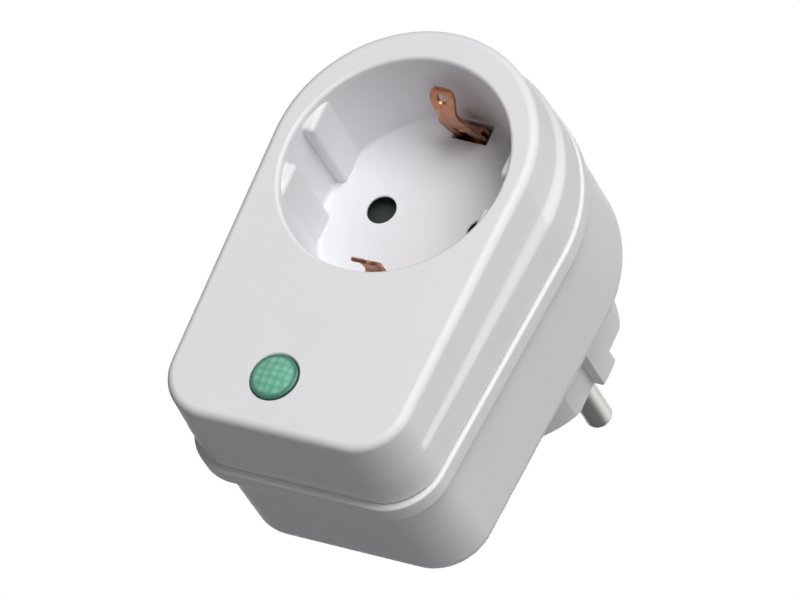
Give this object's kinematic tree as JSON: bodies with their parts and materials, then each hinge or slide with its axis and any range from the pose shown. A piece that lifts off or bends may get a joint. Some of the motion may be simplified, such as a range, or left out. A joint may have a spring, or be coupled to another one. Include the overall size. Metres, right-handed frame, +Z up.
{
  "type": "powerline adapter",
  "caption": "Plug-in mains adapter with an earthed round-pin socket in front, an earthed plug behind and a round green indicator lens below the socket.",
  "frame": {"origin": "centre of the plug's flat end face, between the two pins", "axes": "+Y out of the plug's end face along the pins (into the wall socket), +Z up towards the arched end of the casing, +X to the right seen from the front"},
  "size_m": [0.0532, 0.0814, 0.0802],
  "materials": {
    "casing_plastic": "injection-moulded white ABS, semi-gloss",
    "lens_plastic": "tinted translucent polycarbonate",
    "led_resin": "clear epoxy, tinted green",
    "nickel_plate": "nickel-plated brass, turned",
    "phosphor_bronze": "stamped phosphor bronze, bright",
    "contact_brass": "stamped brass",
    "zinc_steel": "zinc-plated steel",
    "spring_steel": "drawn spring wire",
    "dark_plastic": "moulded dark polyamide",
    "thermoset": "moulded beige thermoset",
    "board_laminate": "glass-epoxy board with green mask",
    "capacitor_case": "potted yellow case",
    "varistor_coat": "dipped blue epoxy",
    "fuse_glass": "glass tube with metal caps",
    "ceramic_white": "white coated body",
    "resistor_coat": "lacquered",
    "brown_sleeve": "extruded PVC",
    "blue_sleeve": "extruded PVC",
    "earth_sleeve": "extruded PVC"
  },
  "bodies": {
    "casing": {"front_shell": "casing_plastic", "socket_cup": "casing_plastic", "rear_shell": "casing_plastic", "indicator_lens": "lens_plastic", "indicator_led": "led_resin", "plug_pin_left": "nickel_plate", "plug_pin_right": "nickel_plate", "plug_earth_strip_upper": "nickel_plate", "plug_earth_strip_lower": "nickel_plate", "socket_contact_left": "contact_brass", "socket_contact_right": "contact_brass", "busbar_left": "contact_brass", "busbar_right": "contact_brass", "earth_rail": "contact_brass", "earth_rivet_upper": "contact_brass", "earth_rivet_lower": "contact_brass", "case_screw_1": "zinc_steel", "case_screw_2": "zinc_steel", "case_screw_3": "zinc_steel", "case_screw_4": "zinc_steel", "carrier_screw_left": "zinc_steel", "carrier_screw_right": "zinc_steel", "cover_screw_left": "zinc_steel", "cover_screw_right": "zinc_steel", "board_screw_left": "zinc_steel", "board_screw_right": "zinc_steel", "holder_screw_upper": "zinc_steel", "holder_screw_lower": "zinc_steel", "shutter_spring": "spring_steel", "contact_carrier": "thermoset", "pin_holder": "thermoset", "shutter_cover": "thermoset", "circuit_board": "board_laminate", "film_capacitor": "capacitor_case", "varistor_1": "varistor_coat", "varistor_2": "varistor_coat", "varistor_3": "varistor_coat", "glass_fuse": "fuse_glass", "thermal_fuse": "ceramic_white", "resistor_1": "resistor_coat", "resistor_2": "resistor_coat", "lead_live": "brown_sleeve", "lead_neutral": "blue_sleeve", "lead_earth": "earth_sleeve"},
    "upper_earth_spring": {"earth_spring_upper": "phosphor_bronze"},
    "lower_earth_spring": {"earth_spring_lower": "phosphor_bronze"},
    "shutter": {"shutter_plate": "dark_plastic"}
  },
  "joints": [
    {"name": "upper_spring_flex", "type": "hinge", "parent": "casing", "child": "upper_earth_spring", "pos_m": [0, -0.0243, 0.0176], "axis": [-1, 0, 0], "range_deg": [0, 4], "stiffness_Nm_per_rad": 0.3, "springref_deg": -0.57},
    {"name": "lower_spring_flex", "type": "hinge", "parent": "casing", "child": "lower_earth_spring", "pos_m": [0, -0.0243, -0.0176], "axis": [1, 0, 0], "range_deg": [0, 4], "stiffness_Nm_per_rad": 0.3, "springref_deg": -0.57},
    {"name": "shutter_turn", "type": "hinge", "parent": "casing", "child": "shutter", "pos_m": [0, -0.0401, 0], "axis": [0, -1, 0], "range_deg": [0, 36], "stiffness_Nm_per_rad": 0.02, "springref_deg": -5.73}
  ]
}
